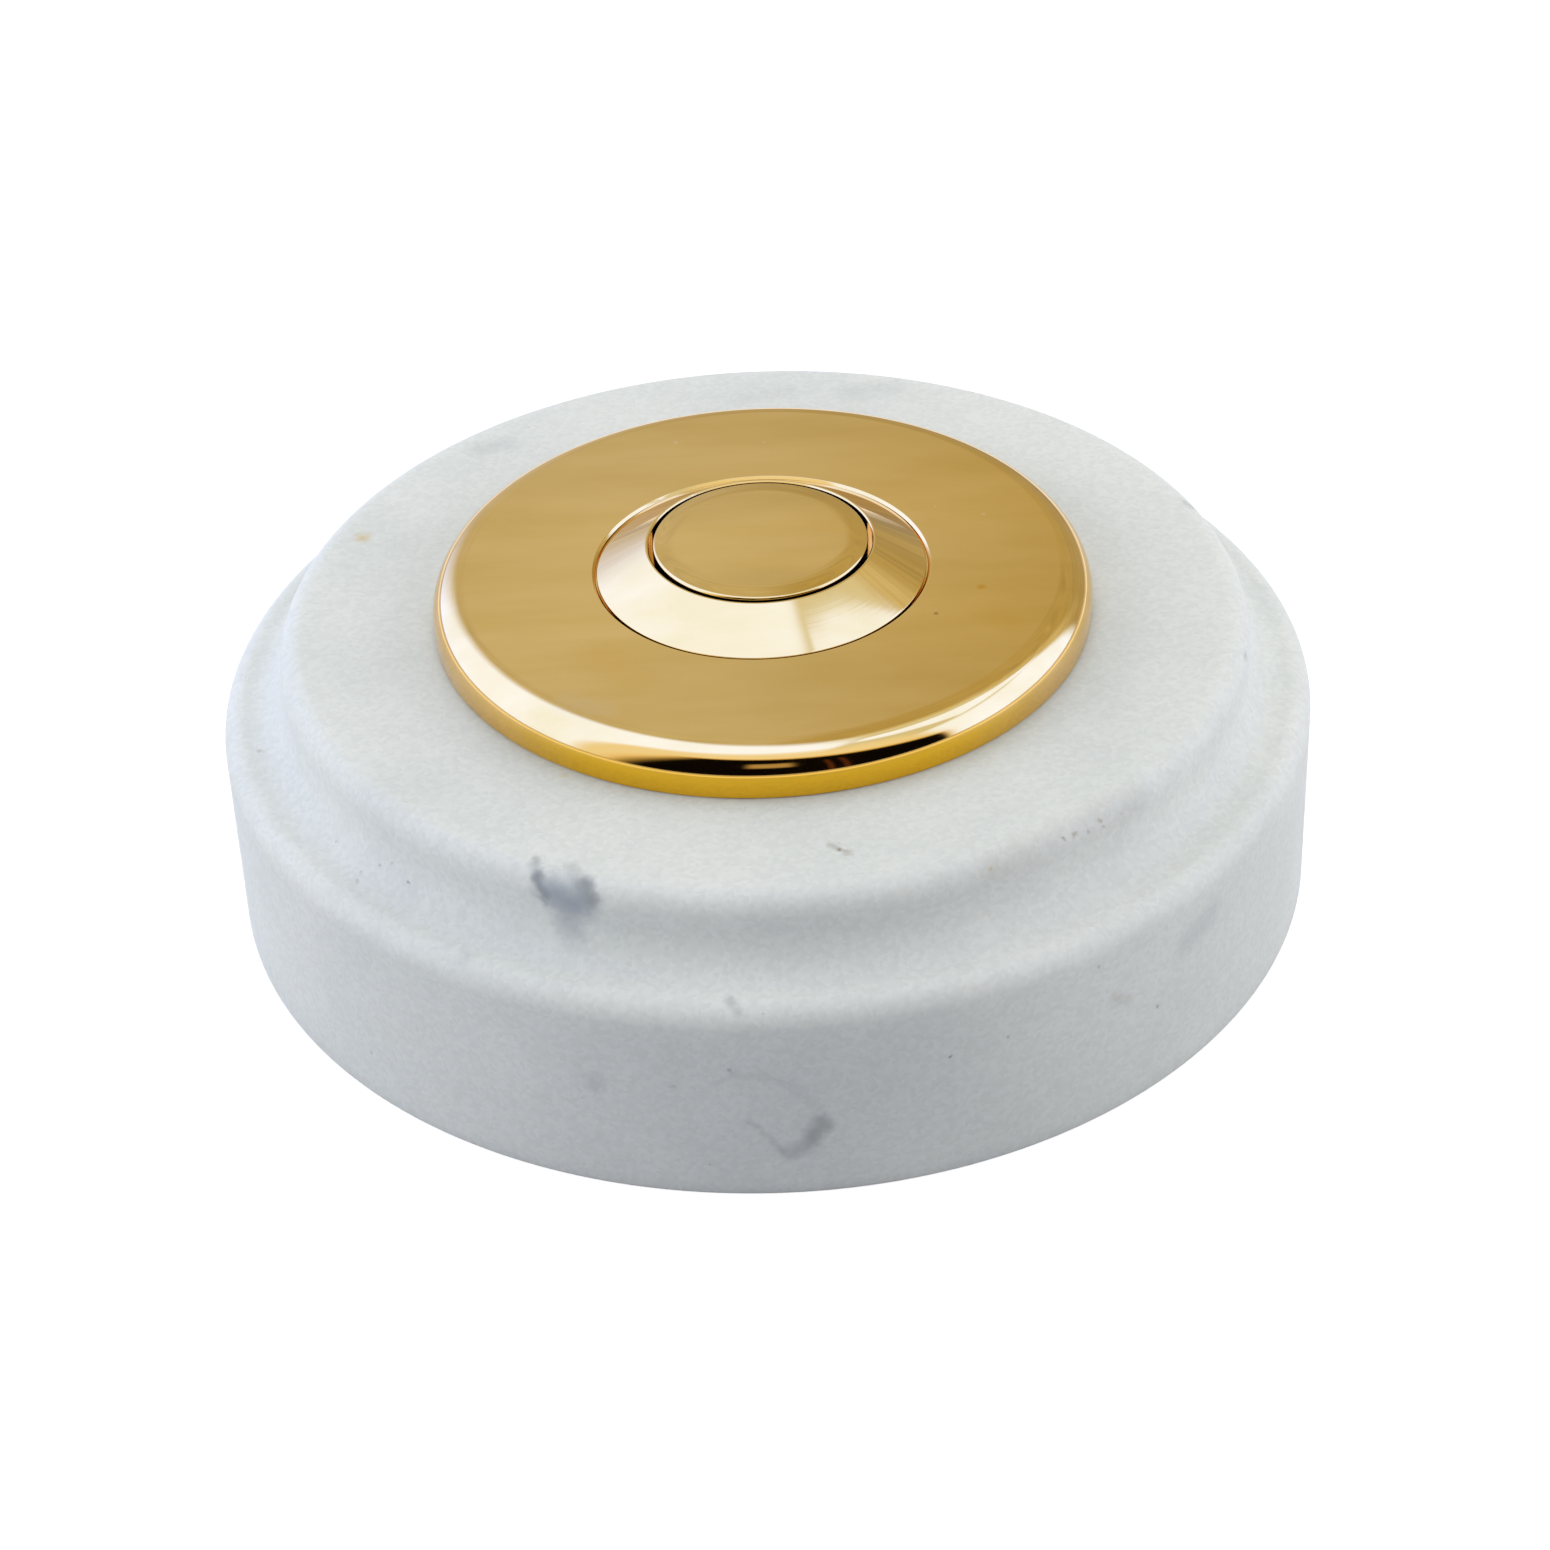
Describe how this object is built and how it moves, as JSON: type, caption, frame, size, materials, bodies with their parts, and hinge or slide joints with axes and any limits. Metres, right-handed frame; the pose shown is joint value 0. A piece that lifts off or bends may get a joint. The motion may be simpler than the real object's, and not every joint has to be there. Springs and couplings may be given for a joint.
{
  "type": "doorbell push button",
  "caption": "Round doorbell push: turned white marble base with a cove, domed-edge brass cover, raised brass bezel and a sprung brass button over a bell switch.",
  "frame": {"origin": "centre of the base's back face, on the button's axis", "axes": "+Z out of the wall along the button's axis, X along the line of the wall screws and the terminals"},
  "size_m": [0.1, 0.1, 0.0344],
  "materials": {
    "marble": "turned and honed white marble, faintly sugary, a little stained",
    "polished_brass": "turned and polished, fine turning marks",
    "plain_brass": "as machined",
    "spring_steel": "drawn wire",
    "black_moulding": "moulded phenolic",
    "spring_bronze": "rolled strip",
    "silver_contact": "headed silver"
  },
  "bodies": {
    "base": {"marble_base": "marble", "backing_plate": "plain_brass", "base_bolts": "plain_brass", "base_bolt_washers": "plain_brass", "base_bolt_nuts": "plain_brass", "cover_plate": "polished_brass", "bezel_ring": "polished_brass", "bezel_washer": "plain_brass", "bezel_nut": "plain_brass", "spring_guide": "plain_brass", "return_spring": "spring_steel", "switch_base": "black_moulding", "moving_contact": "spring_bronze", "fixed_contact": "spring_bronze", "fixed_contact_rivet": "silver_contact", "terminal_screws": "plain_brass", "terminal_washers": "plain_brass", "terminal_nuts": "plain_brass"},
    "button": {"push_button": "polished_brass", "plunger_tip": "black_moulding", "moving_contact_rivet": "silver_contact"}
  },
  "joints": [
    {"name": "button_press", "type": "slide", "parent": "base", "child": "button", "axis": [0, 0, -1], "range_m": [0, 0.002], "stiffness_N_per_m": 1000, "springref_m": -0.0015, "deforming": ["return_spring", "moving_contact"]}
  ]
}
